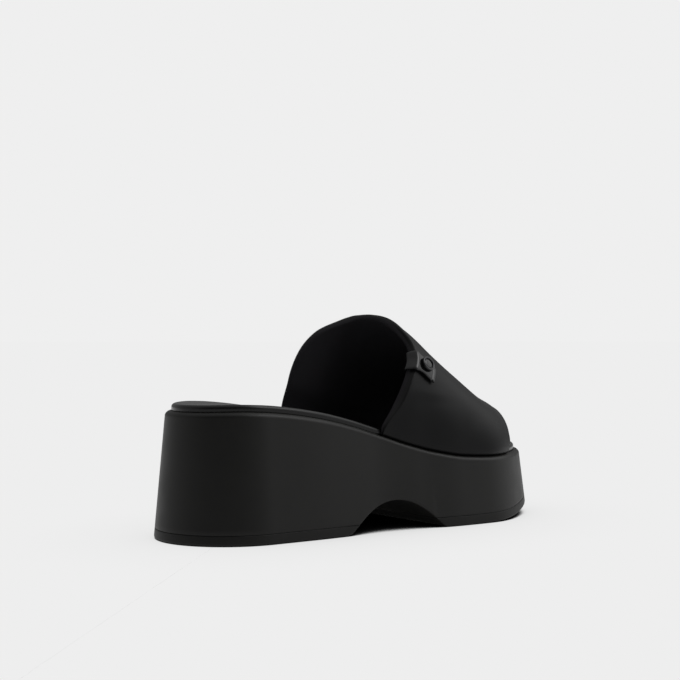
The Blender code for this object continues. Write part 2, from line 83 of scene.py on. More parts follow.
# %% Sizes of the footbed, platform and soles
MM = 0.001
FOOTBED_LENGTH = 250.0
HEEL_WIDTH = 66.8
WAIST_WIDTH = 64.8
BALL_WIDTH = 90.0
TOE_SHIFT = 5.4
TOE_SHIFT_FROM = 0.70
TOE_SHIFT_POWER = 1.5
HEEL_CAP = 0.14
HEEL_CAP_POWER = 1.97
TOE_CAP = 0.24
TOE_CAP_POWER = 1.95
HEEL_RISE = 72.1
FOREFOOT_RISE = 39.8
TOE_LIFT = 1.6
TOE_SPRING = 7.9
SPRING_FROM = 0.72
CLEARANCE = 0.3
HAIR = 0.03

LITTLE_TOE_SIDE = [
    (0.00, 0.481 * HEEL_WIDTH), (0.15, 0.501 * HEEL_WIDTH), (0.30, 0.520 * HEEL_WIDTH),
    (0.42, 0.536 * WAIST_WIDTH), (0.56, 0.591 * WAIST_WIDTH), (0.68, 0.473 * BALL_WIDTH),
    (0.78, 0.489 * BALL_WIDTH), (0.90, 0.443 * BALL_WIDTH), (1.00, 0.411 * BALL_WIDTH),
]
BIG_TOE_SIDE = [
    (0.00, 0.503 * HEEL_WIDTH), (0.15, 0.503 * HEEL_WIDTH), (0.30, 0.485 * HEEL_WIDTH),
    (0.42, 0.478 * WAIST_WIDTH), (0.56, 0.540 * WAIST_WIDTH), (0.68, 0.467 * BALL_WIDTH),
    (0.78, 0.507 * BALL_WIDTH), (0.90, 0.516 * BALL_WIDTH), (1.00, 0.508 * BALL_WIDTH),
]
SEAT_RISE = [
    (0.00, 0.985), (0.08, 1.000), (0.13, 0.987), (0.18, 0.955), (0.29, 0.831), (0.38, 0.670),
    (0.46, 0.485), (0.53, 0.308), (0.61, 0.147), (0.70, 0.035), (0.80, 0.000), (1.00, 0.000),
]
SEAT_LIFT = [(0.70, 0.00), (0.80, 0.05), (1.00, 1.00)]
FOOTBED_BACK = -0.5 * HEEL_WIDTH


def read(rows, at):
    """Reads a monotone cubic through (position, value) rows, level past both ends."""
    if at <= rows[0][0]:
        return rows[0][1]
    if at >= rows[-1][0]:
        return rows[-1][1]
    steps = [after[0] - before[0] for before, after in zip(rows, rows[1:])]
    rates = [(after[1] - before[1]) / step for before, after, step in zip(rows, rows[1:], steps)]
    slopes = [rates[0]]
    for left, right, before, after in zip(rates, rates[1:], steps, steps[1:]):
        if left * right <= 0:
            slopes.append(0.0)
        else:
            near = 2 * after + before
            far = after + 2 * before
            slopes.append((near + far) / (near / left + far / right))
    slopes.append(rates[-1])
    i = max(i for i in range(len(steps)) if rows[i][0] <= at)
    t = (at - rows[i][0]) / steps[i]
    rise = rows[i][1] * (1 + 2 * t) * (1 - t) ** 2 + rows[i + 1][1] * t * t * (3 - 2 * t)
    return rise + steps[i] * t * (1 - t) * (slopes[i] * (1 - t) - slopes[i + 1] * t)


def place(along):
    """Turns a share of the footbed's length into a place on X."""
    return FOOTBED_BACK + along * FOOTBED_LENGTH


def share(x):
    """Turns a place on X into a share of the footbed's length, from 0 to 1."""
    return min(1.0, max(0.0, (x - FOOTBED_BACK) / FOOTBED_LENGTH))


def seat(x):
    """Gives the height of the platform's top, under the edge of the footbed."""
    along = share(x)
    ramp = (HEEL_RISE - FOREFOOT_RISE) * read(SEAT_RISE, along)
    return FOREFOOT_RISE + ramp + TOE_LIFT * read(SEAT_LIFT, along)


def ground(x):
    """Gives the height of the tread, which leaves the floor at the toe."""
    return TOE_SPRING * max(0.0, (share(x) - SPRING_FROM) / (1.0 - SPRING_FROM)) ** 2


def end_round(along):
    """Gives how much of the half width is left at the rounded heel and toe."""
    if along < HEEL_CAP:
        reach, power = (HEEL_CAP - along) / HEEL_CAP, HEEL_CAP_POWER
    elif along > 1.0 - TOE_CAP:
        reach, power = (along - 1.0 + TOE_CAP) / TOE_CAP, TOE_CAP_POWER
    else:
        return 1.0
    return max(0.0, 1.0 - reach ** power) ** (1.0 / power)


def edge(along, inner):
    """Gives Y of the footbed's edge, on the little-toe or the big-toe side."""
    half = read(BIG_TOE_SIDE, along) if inner else -read(LITTLE_TOE_SIDE, along)
    kept = end_round(along)
    sway = max(0.0, (along - TOE_SHIFT_FROM) / (1.0 - TOE_SHIFT_FROM)) ** TOE_SHIFT_POWER
    return half * kept + TOE_SHIFT * sway * (1.0 - kept)


print("seat height at the heel and the ball, in mm:", round(seat(0.0), 1), round(seat(place(0.75)), 1))

# %% [markdown]
# ## One ring, drawn many times
# Platform, soles and footbed all follow the edge of the footbed. So one ring of points is
# drawn on that edge, and moved out, in, up and down to make each level of each piece. A
# curve with a bevel could give such a block too, but rings let the side flare by its own
# table. The points are closest where the heel and the toe turn fastest.

# %% Rings round the footbed
HEEL_STEPS = 36
SIDE_STEPS = 120
TOE_STEPS = 44
HIDDEN_RING = 0.3


def side_shares():
    """Spaces the stations along one side, closer round the heel and the toe."""
    heel = [HEEL_CAP * (1.0 - math.cos(0.5 * math.pi * i / HEEL_STEPS)) for i in range(HEEL_STEPS)]
    body = 1.0 - HEEL_CAP - TOE_CAP
    side = [HEEL_CAP + body * i / SIDE_STEPS for i in range(SIDE_STEPS)]
    toe = [1.0 - TOE_CAP * (1.0 - math.sin(0.5 * math.pi * i / TOE_STEPS)) for i in range(TOE_STEPS + 1)]
    return heel + side + toe


SHARES = side_shares()
BASE = [Vector((place(along), edge(along, False))) for along in SHARES]
BASE += [Vector((place(along), edge(along, True))) for along in SHARES[-2:0:-1]]
TIP = len(SHARES) - 1


def ring_out(out):
    """Moves the footbed's edge outward, by a length or by a function of X."""
    moved = []
    for i, point in enumerate(BASE):
        run = BASE[(i + 1) % len(BASE)] - BASE[i - 1]
        away = Vector((run.y, -run.x)).normalized()
        moved.append(point + away * (out(point.x) if callable(out) else out))
    return moved


def ring_in(part):
    """Draws the footbed's edge in toward the middle line, by a part from 0 to 1."""
    low, high = place(HEEL_CAP), place(1.0 - TOE_CAP)
    return [point.lerp(Vector((min(high, max(low, point.x)), 0.0)), part) for point in BASE]


def lifted(ring, height):
    """Gives a flat ring its heights, from a function of X."""
    return [Vector((point.x, point.y, height(point.x))) for point in ring]


print("points in one ring:", len(BASE))

# %% From rings to a piece
def bridge(shape, rings):
    """Joins rings of equal count, one to the next."""
    count = len(rings[0])
    for low, high in zip(rings, rings[1:]):
        for i in range(count):
            after = (i + 1) % count
            shape.faces.new((low[i], low[after], high[after], high[i]))


def fill_across(shape, ring):
    """Closes a ring with strips from the little-toe side to the big-toe side."""
    count = len(ring)
    shape.faces.new((ring[0], ring[1], ring[count - 1]))
    for i in range(1, TIP - 1):
        shape.faces.new((ring[i], ring[i + 1], ring[count - i - 1], ring[count - i]))
    shape.faces.new((ring[TIP - 1], ring[TIP], ring[TIP + 1]))


def new_piece(name, shape, stands_for, crease=40.0):
    """Turns a bmesh in millimetres into a shaded piece that rides on the shoe."""
    bmesh.ops.recalc_face_normals(shape, faces=shape.faces)
    bmesh.ops.scale(shape, vec=(MM, MM, MM), verts=shape.verts)
    mesh = bpy.data.meshes.new(name)
    shape.to_mesh(mesh)
    shape.free()
    mesh.shade_smooth()
    mesh.set_sharp_from_angle(angle=math.radians(crease))
    piece = bpy.data.objects.new(name, mesh)
    bpy.context.scene.collection.objects.link(piece)
    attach(piece, "root")
    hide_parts(*stands_for)
    mesh.calc_loop_triangles()
    print(f"{name}: {len(mesh.loop_triangles)} triangles")
    return piece


def stacked(name, rings, stands_for):
    """Lofts rings from bottom to top and closes both ends."""
    shape = bmesh.new()
    levels = [[shape.verts.new(point) for point in ring] for ring in rings]
    bridge(shape, levels)
    fill_across(shape, levels[0])
    fill_across(shape, levels[-1])
    return new_piece(name, shape, stands_for)


# %% [markdown]
# ## Materials that start from one shader
# Every finish here is close to black, so colour says little: what tells foam from leather
# is how sharply it shines and how fine its grain is. A picture of leather could be wrapped
# round each piece, but it would stretch and show its seams. So each finish is one Principled
# shader whose roughness and bump come from noise in the object's own space, in millimetres.

# %% A helper for grained finishes
MOTTLE_SCALE = 90.0
MOTTLE_DETAIL = 5.0
MOTTLE_TONE = 0.14


def finish_of(name, colour, roughness, grain, depth, spread=0.06, **sockets):
    """Makes a finish: mottled roughness, and a grain of that size and depth in millimetres."""
    made = bpy.data.materials.new(name)
    made.use_nodes = True
    nodes, links = made.node_tree.nodes, made.node_tree.links
    shader = nodes["Principled BSDF"]
    for socket, value in sockets.items():
        shader.inputs[socket.replace("_", " ")].default_value = value
    where = nodes.new("ShaderNodeTexCoord")
    mottle = nodes.new("ShaderNodeTexNoise")
    mottle.inputs["Scale"].default_value = MOTTLE_SCALE
    mottle.inputs["Detail"].default_value = MOTTLE_DETAIL
    links.new(where.outputs["Object"], mottle.inputs["Vector"])
    tone = nodes.new("ShaderNodeValToRGB")
    tone.color_ramp.elements[0].color = (*[(1.0 - MOTTLE_TONE) * c for c in colour], 1.0)
    tone.color_ramp.elements[1].color = (*[(1.0 + MOTTLE_TONE) * c for c in colour], 1.0)
    links.new(mottle.outputs["Fac"], tone.inputs["Fac"])
    links.new(tone.outputs["Color"], shader.inputs["Base Color"])
    gloss = nodes.new("ShaderNodeMapRange")
    gloss.inputs["To Min"].default_value = roughness - spread
    gloss.inputs["To Max"].default_value = roughness + spread
    links.new(mottle.outputs["Fac"], gloss.inputs["Value"])
    links.new(gloss.outputs["Result"], shader.inputs["Roughness"])
    cells = nodes.new("ShaderNodeTexVoronoi")
    cells.feature = "SMOOTH_F1"
    cells.inputs["Scale"].default_value = 1000.0 / grain
    links.new(where.outputs["Object"], cells.inputs["Vector"])
    relief = nodes.new("ShaderNodeBump")
    relief.inputs["Strength"].default_value = 1.0
    relief.inputs["Distance"].default_value = depth * MM
    links.new(cells.outputs["Distance"], relief.inputs["Height"])
    links.new(relief.outputs["Normal"], shader.inputs["Normal"])
    return made


def dress(piece, material):
    """Gives a piece its first finish."""
    piece.data.materials.clear()
    piece.data.materials.append(material)


print("each finish is mottled in patches of about", round(1.0 / (MOTTLE_SCALE * MM)), "mm")

# %% [markdown]
# ## The platform
# The real platform is a block of light foam, moulded with a satin skin. Its side flares
# toward the floor, its shoulder is rolled in under the footbed, and a low arch pierces the
# waist so that it can flex. The tunnel could be cut out of a full block, but it runs straight
# across, so it needs no cutting: the bottom of the stack of rings simply rises over it.

# %% Platform
SHOULDER_OUT = 3.7
SHOULDER_DROP = 3.1
FLARE = [(0.0, 6.1), (0.5, 6.0), (1.0, 3.6)]
SOLE_THICKNESS = 5.6
SEAM_ROUND = 0.4
SEAM_TURNS = (0.0, 0.5, 1.0)
TUNNEL_LENGTH = 66.0
TUNNEL_HEIGHT = 18.3
TUNNEL_MIDDLE = 0.482
TUNNEL_CORNER = 2.2
TUNNEL_FOOT = 1.12


def wall_top(x):
    """Gives the height where the platform's side turns into its shoulder."""
    return seat(x) - SHOULDER_DROP


def wall_out(x, height):
    """Gives how far the side has flared at a height above the tread."""
    down = 1.0 - height / (wall_top(x) - ground(x))
    return SHOULDER_OUT + read(FLARE, share(x)) * down


def tunnel_arch(x):
    """Gives the height of the tunnel's roof, below the floor past its feet."""
    part = 2.0 * (x - place(TUNNEL_MIDDLE)) / TUNNEL_LENGTH

    def soft(reach):
        bare = TUNNEL_HEIGHT * (1.0 - reach * reach)
        return 0.5 * (bare + math.hypot(bare, TUNNEL_CORNER))

    return soft(part) - soft(TUNNEL_FOOT) if abs(part) < TUNNEL_FOOT else -1.0


def belly(x):
    """Gives the platform's underside: over the soles, or over the tunnel."""
    return max(ground(x) + SOLE_THICKNESS + CLEARANCE, tunnel_arch(x))


def platform_ring(up, part=0.0, inset=0.0):
    """Makes a ring on the side: up above the belly, then a part of the way to the shoulder."""
    def height(x):
        low = belly(x) + up
        return low + part * (wall_top(x) - low)

    return lifted(ring_out(lambda x: wall_out(x, height(x) - ground(x)) - inset), height)


WALL_STEPS = 26
SHOULDER_TURNS = 10
rings = [platform_ring(SEAM_ROUND * (1.0 - math.cos(a)), inset=SEAM_ROUND * (1.0 - math.sin(a)))
         for a in SEAM_TURNS]
rings += [platform_ring(SEAM_ROUND, part=i / WALL_STEPS) for i in range(WALL_STEPS + 1)]
for i in range(1, SHOULDER_TURNS + 1):
    angle = 0.5 * math.pi * i / SHOULDER_TURNS
    flat = ring_out(SHOULDER_OUT * math.cos(angle))
    rings.append(lifted(flat, lambda x, a=angle: wall_top(x) + SHOULDER_DROP * math.sin(a)))
rings.append(lifted(ring_in(HIDDEN_RING), seat))
platform = stacked("platform_skin", rings, ("platform",))

foam_skin = finish_of("foam skin", (0.0052, 0.0051, 0.0046), 0.45, grain=0.35, depth=0.010,
                      Specular_IOR_Level=0.21)
dress(platform, foam_skin)

# %% [markdown]
# ## The two soles
# Under the foam lie two flat rubber soles, one for the heel and one for the forefoot. They
# stop where the tunnel starts, and the forefoot one lifts with the toe. Their tread is a
# field of low ribs inside a plain border, which keeps the shoe level on the floor. Two
# outlines could be drawn, but one full sole that is cut twice keeps both in one line.

# %% Soles
SOLE_TOP = SOLE_THICKNESS + CLEARANCE - HAIR
SOLE_EDGE = 1.6
TREAD_BORDER = 5.0
RIB_PITCH = 5.5
RIB_DEPTH = 0.8
RIB_RAMP = 0.6
SOLE_TURNS = 5
THIN = 0.96
CUT_STEP = 0.05


def sole_ring(height, inset, groove=0.0):
    """Makes a ring of the sole; it is squeezed upward where the tunnel starts."""
    def up(x):
        bottom = min(THIN * SOLE_TOP, max(0.0, tunnel_arch(x) - ground(x)))
        rib = groove * RIB_DEPTH * (0.5 + 0.5 * math.cos(2.0 * math.pi * x / RIB_PITCH))
        return bottom + (SOLE_TOP - bottom) * (height + rib) / SOLE_TOP

    flat = ring_out(lambda x: wall_out(x, up(x)) - inset)
    return lifted(flat, lambda x: ground(x) + up(x))


def make_sole(name, node, forward):
    """Lofts the whole sole, then keeps what lies behind or ahead of the tunnel."""
    shape = bmesh.new()
    rings = [sole_ring(0.0, TREAD_BORDER + RIB_RAMP, 1.0), sole_ring(0.0, TREAD_BORDER)]
    for i in range(SOLE_TURNS + 1):
        turn = 0.5 * math.pi * i / SOLE_TURNS
        rings.append(sole_ring(SOLE_EDGE * (1.0 - math.cos(turn)), SOLE_EDGE * (1.0 - math.sin(turn))))
    rings += [sole_ring(SOLE_TOP - SEAM_ROUND, 0.0), sole_ring(SOLE_TOP, SEAM_ROUND)]
    levels = [[shape.verts.new(point) for point in ring] for ring in rings]
    bridge(shape, levels)
    fill_across(shape, levels[0])
    fill_across(shape, levels[-1])
    way = 1.0 if forward else -1.0
    cut = place(TUNNEL_MIDDLE)
    while tunnel_arch(cut) > THIN * SOLE_TOP:
        cut += CUT_STEP * way
    everything = shape.verts[:] + shape.edges[:] + shape.faces[:]
    found = bmesh.ops.bisect_plane(shape, geom=everything, plane_co=(cut, 0, 0), plane_no=(-way, 0, 0),
                                   clear_outer=True)
    rim = [part for part in found["geom_cut"] if isinstance(part, bmesh.types.BMEdge)]
    bmesh.ops.holes_fill(shape, edges=rim)
    return new_piece(name, shape, (node,))


rubber = finish_of("moulded rubber", (0.0046, 0.0045, 0.0041), 0.50, grain=0.5, depth=0.02,
                   Specular_IOR_Level=0.18)
SOLES = (("heel_sole", "outsole_heel", False), ("forefoot_sole", "outsole_forefoot", True))
for name, node, forward in SOLES:
    dress(make_sole(name, node, forward), rubber)

# %% [markdown]
# ## The footbed
# A thin board with a little foam is wrapped in a smooth, glossy black sheet. The wrap goes
# over a rounded edge and is glued under. A flat sheet could be thickened, but its edge would
# stay square. So it is one stack of rings again, with a shallow dish for the foot. Under the
# band its lower side is lifted, to leave room for the band's margin.

# %% Footbed
FOOTBED_THICKNESS = 3.9
FOOTBED_EDGE = 2.0
FOOTBED_CHAMFER = 0.25
FOOTBED_DISH = 1.2
MARGIN_ROOM = 1.8
MARGIN_EASE = 0.012
BAND_REACH = ((0.458, 0.862), (0.361, 0.876))


def wrap_low(point, index):
    """Gives the wrap's lower side, lifted where the band's margin lies under it."""
    back, front = BAND_REACH[1 if index > TIP else 0]
    along = share(point.x)
    inside = min(along - back, front - along) / MARGIN_EASE + 1.0
    return HAIR + (MARGIN_ROOM - HAIR) * min(1.0, max(0.0, inside))


def wrap_ring(flat, up, low_part):
    """Makes a ring of the wrap: low_part says how much of the lift it takes."""
    return [Vector((point.x, point.y, seat(point.x) + up + low_part * (wrap_low(point, i) - HAIR)))
            for i, point in enumerate(flat)]


# Each ring of the lower edge: out and up in chamfers, and how much of the lift it takes
LOWER_EDGE = ((-1.0, 0.0, 1.0), (-0.3, 0.3, 0.6), (0.0, 1.0, 0.5))
rings = [wrap_ring(ring_in(HIDDEN_RING), HAIR, 1.0)]
rings += [wrap_ring(ring_out(out * FOOTBED_CHAMFER), HAIR + up * FOOTBED_CHAMFER, lift)
          for out, up, lift in LOWER_EDGE]
top = FOOTBED_THICKNESS
EDGE_TURNS = 8
for i in range(EDGE_TURNS + 1):
    angle = 0.5 * math.pi * i / EDGE_TURNS
    inset = FOOTBED_EDGE * (1.0 - math.cos(angle))
    rings.append(wrap_ring(ring_out(-inset), top - FOOTBED_EDGE * (1.0 - math.sin(angle)), 0.0))
DISH = [(0.05, 0.00), (0.16, 0.10), (0.30, 0.40), (0.48, 0.75), (0.70, 0.95), (1.00, 1.00)]
DISH_RINGS = 18
DISH_START, DISH_SPAN = 0.06, 0.90
for i in range(1, DISH_RINGS):
    part = DISH_START + DISH_SPAN * i / DISH_RINGS
    rings.append(wrap_ring(ring_in(part), top - FOOTBED_DISH * read(DISH, part), 0.0))
footbed = stacked("footbed_wrap", rings, ("footbed",))

glossy_wrap = finish_of("glossy wrap", (0.0050, 0.0050, 0.0050), 0.26, spread=0.04, grain=0.6, depth=0.006,
                        Specular_IOR_Level=0.22)
dress(footbed, glossy_wrap)

# %% [markdown]
# ## The padded band
# The band is a soft leather shell over foam. At its back and front the wall ends in a slanted
# rim with rounded corners, and the brushed lining is turned over that rim from inside. Its
# foot is drawn in under the footbed and glued down, which lastmakers call the lasting margin.
# It could be cut flat and draped, but a sweep keeps the outline that the photograph shows: at
# each station across, from margin to margin, a closed loop runs out over the shell, round the
# front rim, back along the lining and round the back rim.

# %% The arch of the band
INSTEP_HEIGHT = 89.7
CREST_SHIFT = 3.0
BAND_WALL = 5.0
BAND_FOOT_WALL = 2.4
BAND_FOOT_OUT = 3.1
BAND_FOOT_UP = 4.4
MARGIN_WALL = 1.2
MARGIN_REACH = 12.0
PADDING_FULL_AT = 0.08
BAND_RUN = 0.35
CREST_HEIGHT = [(0.38, 1.072), (0.54, 1.019), (0.60, 0.915), (0.66, 0.781), (0.74, 0.606), (0.82, 0.443),
                (0.90, 0.346), (0.94, 0.296)]
CREST_SQUARE = [(0.38, 2.28), (0.54, 2.28), (0.60, 2.23), (0.66, 2.18), (0.74, 2.13), (0.82, 2.08),
                (0.90, 2.03), (0.94, 1.98)]
RIM_BACK = [(0.00, 0.458), (0.05, 0.494), (0.10, 0.523), (0.15, 0.547), (0.22, 0.572), (0.30, 0.584),
            (0.40, 0.571), (0.50, 0.561), (0.58, 0.546), (0.66, 0.500), (0.74, 0.434), (0.82, 0.396),
            (0.91, 0.373), (1.00, 0.361)]
RIM_FRONT = [(0.00, 0.862), (0.05, 0.873), (0.10, 0.877), (0.15, 0.881), (0.22, 0.887), (0.30, 0.901),
             (0.40, 0.925), (0.50, 0.937), (0.58, 0.938), (0.66, 0.932), (0.74, 0.921), (0.82, 0.909),
             (0.91, 0.894), (1.00, 0.876)]
# Out, up and wall of the foot, from the top of the foot down to the margin's tip
FOOT = [
    (BAND_FOOT_OUT, BAND_FOOT_UP, BAND_FOOT_WALL),
    (0.87 * BAND_FOOT_OUT, HAIR + 0.53 * BAND_FOOT_UP, 0.80 * BAND_FOOT_WALL),
    (0.61 * BAND_FOOT_OUT, HAIR + 0.21 * BAND_FOOT_UP, 1.25 * MARGIN_WALL),
    (0.29 * BAND_FOOT_OUT, HAIR + 0.05 * BAND_FOOT_UP, 1.05 * MARGIN_WALL),
    (-0.13 * BAND_FOOT_OUT, HAIR, MARGIN_WALL),
    (-0.5 * MARGIN_REACH, HAIR, MARGIN_WALL),
    (-MARGIN_REACH, HAIR, MARGIN_WALL),
]
FOOT_STEP = 0.01
NUDGE = 0.002


def edge_frame(along, inner):
    """Gives a point of the footbed's edge and the way outward from it."""
    point = Vector((place(along), edge(along, inner)))
    run = Vector((2.0 * NUDGE * FOOTBED_LENGTH, edge(along + NUDGE, inner) - edge(along - NUDGE, inner)))
    away = Vector((-run.y, run.x)) if inner else Vector((run.y, -run.x))
    return point, away.normalized()


def arch_point(along, across):
    """Gives a point of the band's outer face, on the arch at a station."""
    x = place(along)
    foot_up = seat(x) + BAND_FOOT_UP
    height = FOREFOOT_RISE + INSTEP_HEIGHT * read(CREST_HEIGHT, along)
    power = 2.0 / read(CREST_SQUARE, along)
    angle = math.pi * across
    side = abs(math.cos(angle)) ** power
    foot, away = edge_frame(along, across > 0.5)
    foot = foot + away * BAND_FOOT_OUT
    y = CREST_SHIFT + (foot.y - CREST_SHIFT) * side
    z = foot_up + (height - foot_up) * max(0.0, math.sin(angle)) ** power
    return Vector((x + (foot.x - x) * side, y, z))


def foot_level(station):
    """Gives the rows of FOOT above and below a station past the arch, and the part between."""
    level = min(len(FOOT) - 1.0, max(-station, station - 1.0) / FOOT_STEP)
    row = min(int(level), len(FOOT) - 2)
    return FOOT[row], FOOT[row + 1], level - row


def outer_face(run, station):
    """Gives a point of the outer face: run from back to front, station across the arch."""
    across = min(1.0, max(0.0, station))
    back = read(RIM_BACK, across)
    along = back + (read(RIM_FRONT, across) - back) * run
    if 0.0 <= station <= 1.0:
        return arch_point(along, across)
    above, below, part = foot_level(station)
    out = above[0] + (below[0] - above[0]) * part
    up = above[1] + (below[1] - above[1]) * part
    point, away = edge_frame(along, station > 0.5)
    spot = point + away * out
    return Vector((spot.x, spot.y, seat(place(along)) + up))


def band_wall(station):
    """Gives the band's thickness: skived in the margin, padded over the arch."""
    if station < 0.0 or station > 1.0:
        above, below, part = foot_level(station)
        return above[2] + (below[2] - above[2]) * part
    full = min(1.0, min(station, 1.0 - station) / PADDING_FULL_AT)
    return BAND_FOOT_WALL + (BAND_WALL - BAND_FOOT_WALL) * full * full * (3.0 - 2.0 * full)


def run_of(length):
    """Turns a length along the band into a share of its run."""
    return length / (BAND_RUN * FOOTBED_LENGTH)


def wall_frame(run, station):
    """Gives a point of the outer face, its way forward and its way out."""
    point = outer_face(run, station)
    ahead = (outer_face(run + NUDGE, station) - outer_face(run - NUDGE, station)).normalized()
    over = outer_face(run, station + NUDGE) - outer_face(run, station - NUDGE)
    return point, ahead, ahead.cross(over).normalized()


print("crest of the band, in mm:", round(arch_point(0.55, 0.5).z, 1))

# %% [markdown]
# ### Creases
# A soft band is never as smooth as its pattern. Behind each rim the padding stops in a
# shallow valley, and swells again a little further on. Small folds gather where the tab
# pulls the edge and where the band bends over the ball of the foot. They could be drawn into
# a bump, but a bump has no outline. So each is a gentle push along the surface's own outward
# way, set one by one from where such a band is seen to crease.

# %% Padding, valleys and folds
VALLEY_DEPTH, VALLEY_AT, VALLEY_WIDTH = 0.16, 7.0, 2.4
SWELL_HEIGHT, SWELL_AT, SWELL_WIDTH = 0.22, 14.0, 6.0
FOOT_FADE = 6.0
WAVE_HEIGHT = 0.10
# Each slow wave of the padding: how fast it turns per millimetre along, and over the arch
WAVES = ((0.19, 21.0), (0.06, 13.0))


def bump_at(away, width):
    """Gives a smooth hump that is 1 at its middle and fades over a width."""
    return math.exp(-(away / width) ** 2)


# Each fold: run and station of its middle, its way on the band in degrees, length, width, height
FOLDS = (
    (0.16, 0.115, 62.0, 26.0, 4.5, 0.30),
    (0.22, 0.095, 55.0, 30.0, 4.0, -0.26),
    (0.10, 0.280, -30.0, 20.0, 4.0, 0.22),
    (0.55, 0.140, 8.0, 42.0, 6.5, 0.30),
    (0.63, 0.105, 12.0, 36.0, 5.0, -0.28),
    (0.80, 0.180, -6.0, 34.0, 6.0, 0.26),
    (0.58, 0.850, -10.0, 40.0, 6.0, 0.30),
    (0.70, 0.880, -4.0, 34.0, 5.0, -0.26),
    (0.30, 0.830, -50.0, 30.0, 5.0, 0.26),
    (0.72, 0.520, 4.0, 46.0, 8.0, 0.20),
)
ARCH_LENGTH = 235.0


def soft_form(run, station):
    """Gives how far the padding stands out or sinks in at a place on the band."""
    across = min(1.0, max(0.0, station))
    cover = min(1.0, FOOT_FADE * min(across, 1.0 - across))
    from_back = run * BAND_RUN * FOOTBED_LENGTH
    from_front = (1.0 - run) * BAND_RUN * FOOTBED_LENGTH
    push = 0.0
    for far in (from_back, from_front):
        push += SWELL_HEIGHT * bump_at(far - SWELL_AT, SWELL_WIDTH)
        push -= VALLEY_DEPTH * bump_at(far - VALLEY_AT, VALLEY_WIDTH)
    for middle, at, turn, length, width, height in FOLDS:
        ahead = (run - middle) * BAND_RUN * FOOTBED_LENGTH
        over = (station - at) * ARCH_LENGTH
        c, s = math.cos(math.radians(turn)), math.sin(math.radians(turn))
        push += height * bump_at(c * over + s * ahead, 0.5 * length) * bump_at(c * ahead - s * over, width)
    first_wave, second_wave = [math.sin(along * from_back + over * across) for along, over in WAVES]
    push += WAVE_HEIGHT * first_wave * second_wave
    return push * cover


pushes = [soft_form(i / 20, j / 40) for i in range(21) for j in range(41)]
print("the padding moves by", round(min(pushes), 2), "to", round(max(pushes), 2), "mm")

# %% [markdown]
# ### The slanted rim
# The wall doesn't end in a plain roll: its outer leather is cut short, and the rim slants in
# toward the lining. A bevel on the finished mesh could do this, but it would be the same all
# along. Here the rim is crisp by the tab and below it, and softens toward the crest, so it is
# drawn as a small profile, in shares of the wall, with two rounded corners.

# %% The rim's profile
RIM_DEPTH = 0.74
# Where the slant starts, and how far the outer and the inner corner are rounded, in walls
CRISP_RIM = (0.20, 0.194, 0.12)
SOFT_RIM = (0.40, 0.388, 0.54)
SOFT_FROM, SOFT_OVER = 0.17, 0.15
OUTER_TURNS, INNER_TURNS = 7, 6


def turned_corner(before, corner, after, reach, steps):
    """Rounds a corner of a profile with a short curve."""
    first = corner + (before - corner).normalized() * reach
    last = corner + (after - corner).normalized() * reach
    parts = [i / steps for i in range(steps + 1)]
    return [first * (1.0 - t) ** 2 + corner * 2.0 * t * (1.0 - t) + last * t * t for t in parts]


def rim_profile(wall, start, outer_round, inner_round):
    """Lists the slanted rim: how far each point stands out and on, and the way it faces."""
    a, b = Vector((0.5, 0.0)), Vector((0.5, start))
    c, d = Vector((-0.5, RIM_DEPTH)), Vector((-0.5, 0.0))
    line = [a] + turned_corner(a, b, c, outer_round, OUTER_TURNS)
    line += [b.lerp(c, 0.5)] + turned_corner(b, c, d, inner_round, INNER_TURNS) + [d]
    profile = []
    for i, point in enumerate(line):
        run = line[min(i + 1, len(line) - 1)] - line[max(i - 1, 0)]
        profile.append((point * wall, Vector((run.y, -run.x)).normalized()))
    return profile


def band_rim(wall, station):
    """Gives the band's own rim: crisp by the tab and below, soft from there on."""
    part = min(1.0, max(0.0, (station - SOFT_FROM) / SOFT_OVER))
    softness = part * part * (3.0 - 2.0 * part)
    form = [crisp + (soft - crisp) * softness for crisp, soft in zip(CRISP_RIM, SOFT_RIM)]
    return rim_profile(wall, *form)


print("points round one rim:", len(band_rim(BAND_WALL, 0.5)))

# %% The swept band
ARCH_STEPS = 170
RUN_STEPS = 56
MARGIN_STEPS = 14


def band_loop(station):
    """Lists one closed loop round the band's wall, at a station across it."""
    wall = band_wall(station)
    inset = run_of(RIM_DEPTH * wall)
    runs = [inset + (1.0 - 2.0 * inset) * i / RUN_STEPS for i in range(RUN_STEPS + 1)]
    shell, lining = [], []
    for run in runs:
        point, _, away = wall_frame(run, station)
        shell.append(point + away * soft_form(run, station))
        lining.append(point - away * wall)
    rims = []
    for run, way in ((runs[-1], 1.0), (runs[0], -1.0)):
        point, ahead, away = wall_frame(run, station)
        middle = point - away * 0.5 * wall
        push = soft_form(run, station)
        rim = []
        for (out, on), _ in band_rim(wall, station)[1:-1]:
            out += push * max(0.0, 2.0 * out / wall) ** 2
            rim.append(middle + away * out + ahead * way * on)
        rims.append(rim)
    return shell + rims[0] + lining[::-1] + rims[1][::-1]


def fill_loop(shape, loop, count):
    """Closes the margin's tip: a flat loop whose first points face its later ones."""
    last = len(loop) - 1
    turned = (len(loop) - 2 * count) // 2
    facing = [last - turned - i for i in range(count)]
    for i in range(count - 1):
        shape.faces.new((loop[i], loop[i + 1], loop[facing[i + 1]], loop[facing[i]]))
    shape.faces.new(loop[count - 1:count + turned + 1])
    shape.faces.new(loop[last - turned:] + [loop[0]])


